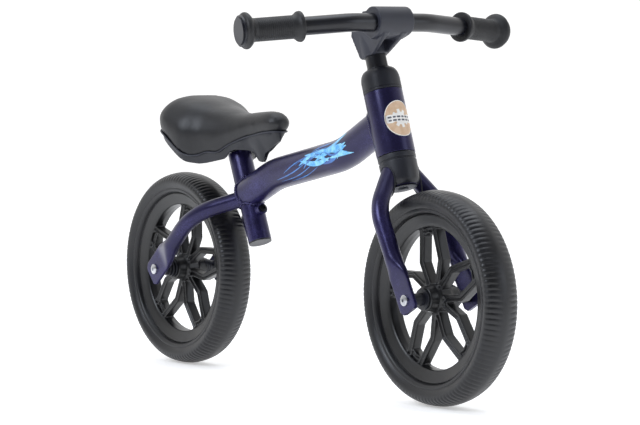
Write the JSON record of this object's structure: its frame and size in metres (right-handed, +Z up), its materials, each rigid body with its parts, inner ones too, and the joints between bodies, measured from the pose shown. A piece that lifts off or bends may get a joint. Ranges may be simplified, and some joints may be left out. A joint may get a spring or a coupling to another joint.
{
  "type": "balance bike",
  "caption": "Child's balance bike with a curved welded tube frame, moulded spoked wheels, padded saddle, steering fork and swept handlebar.",
  "frame": {"origin": "on the ground midway between the two axles", "axes": "+X forward, +Y to the rider's left, +Z up"},
  "size_m": [0.8, 0.3968, 0.4668],
  "materials": {
    "frame_paint": "satin metallic violet blue",
    "black_plastic": "fine moulded texture",
    "black_paint": "satin black powder coat",
    "wheel_plastic": "moulded, slightly glossy edges",
    "tyre_foam": "foam rubber with fine tread",
    "grip_rubber": "fine ribbed rubber",
    "saddle_vinyl": "grained vinyl",
    "zinc_bolt": "bright zinc",
    "bare_steel": "turned steel",
    "bearing_steel": "ground steel"
  },
  "bodies": {
    "frame": {"head_tube": "frame_paint", "main_tube": "frame_paint", "seat_tube": "frame_paint", "seat_tube_plug": "black_plastic", "seat_lock_boss": "frame_paint", "seat_lock_bolt": "zinc_bolt", "stay_right": "frame_paint", "stay_left": "frame_paint", "upper_cup": "bare_steel", "lower_cup": "bare_steel", "upper_balls": "bearing_steel", "lower_balls": "bearing_steel", "rear_axle": "bare_steel", "rear_axle_bolts": "zinc_bolt", "rear_spacers": "black_plastic", "rear_hub_sleeve": "bare_steel", "rear_bearing_inners": "bearing_steel"},
    "fork": {"steerer_tube": "bare_steel", "fork_crown": "frame_paint", "crown_cover": "black_plastic", "crown_plate": "zinc_bolt", "crown_bolt": "zinc_bolt", "fork_leg_right": "frame_paint", "fork_leg_left": "frame_paint", "lower_cone": "bare_steel", "upper_cone": "bare_steel", "lock_nut": "bare_steel", "dome_cap": "black_plastic", "front_axle": "bare_steel", "front_axle_bolts": "zinc_bolt", "front_spacers": "black_plastic", "front_hub_sleeve": "bare_steel", "front_bearing_inners": "bearing_steel"},
    "handlebar": {"bar_post": "black_paint", "expander_wedge": "bare_steel", "expander_bolt": "zinc_bolt", "stem_body": "black_plastic", "stem_cap": "black_plastic", "stem_screws": "zinc_bolt", "handlebar": "black_paint", "grip_right": "grip_rubber", "grip_left": "grip_rubber", "bar_end_caps": "black_plastic"},
    "front_wheel": {"front_wheel": "wheel_plastic", "front_tyre": "tyre_foam", "front_bearing_outers": "bearing_steel", "front_bearing_balls": "bearing_steel"},
    "rear_wheel": {"rear_wheel": "wheel_plastic", "rear_tyre": "tyre_foam", "rear_bearing_outers": "bearing_steel", "rear_bearing_balls": "bearing_steel"},
    "saddle": {"seat_post": "bare_steel", "saddle_bracket": "bare_steel", "saddle_screws": "zinc_bolt", "saddle_pan": "black_plastic", "saddle_cover": "saddle_vinyl"}
  },
  "joints": [
    {"name": "steering", "type": "hinge", "parent": "frame", "child": "fork", "pos_m": [0.25149, 0, 0.11932], "axis": [-0.3364, 0, 0.9417], "continuous": true},
    {"name": "bar_height", "type": "slide", "parent": "fork", "child": "handlebar", "axis": [-0.3364, 0, 0.9417], "range_m": [0, 0.045]},
    {"name": "front_wheel_spin", "type": "hinge", "parent": "fork", "child": "front_wheel", "pos_m": [0.273, 0, 0.127], "axis": [0, 1, 0], "continuous": true},
    {"name": "rear_wheel_spin", "type": "hinge", "parent": "frame", "child": "rear_wheel", "pos_m": [-0.273, 0, 0.127], "axis": [0, 1, 0], "continuous": true},
    {"name": "saddle_height", "type": "slide", "parent": "frame", "child": "saddle", "axis": [-0.3919, 0, 0.92], "range_m": [0, 0.03]}
  ]
}
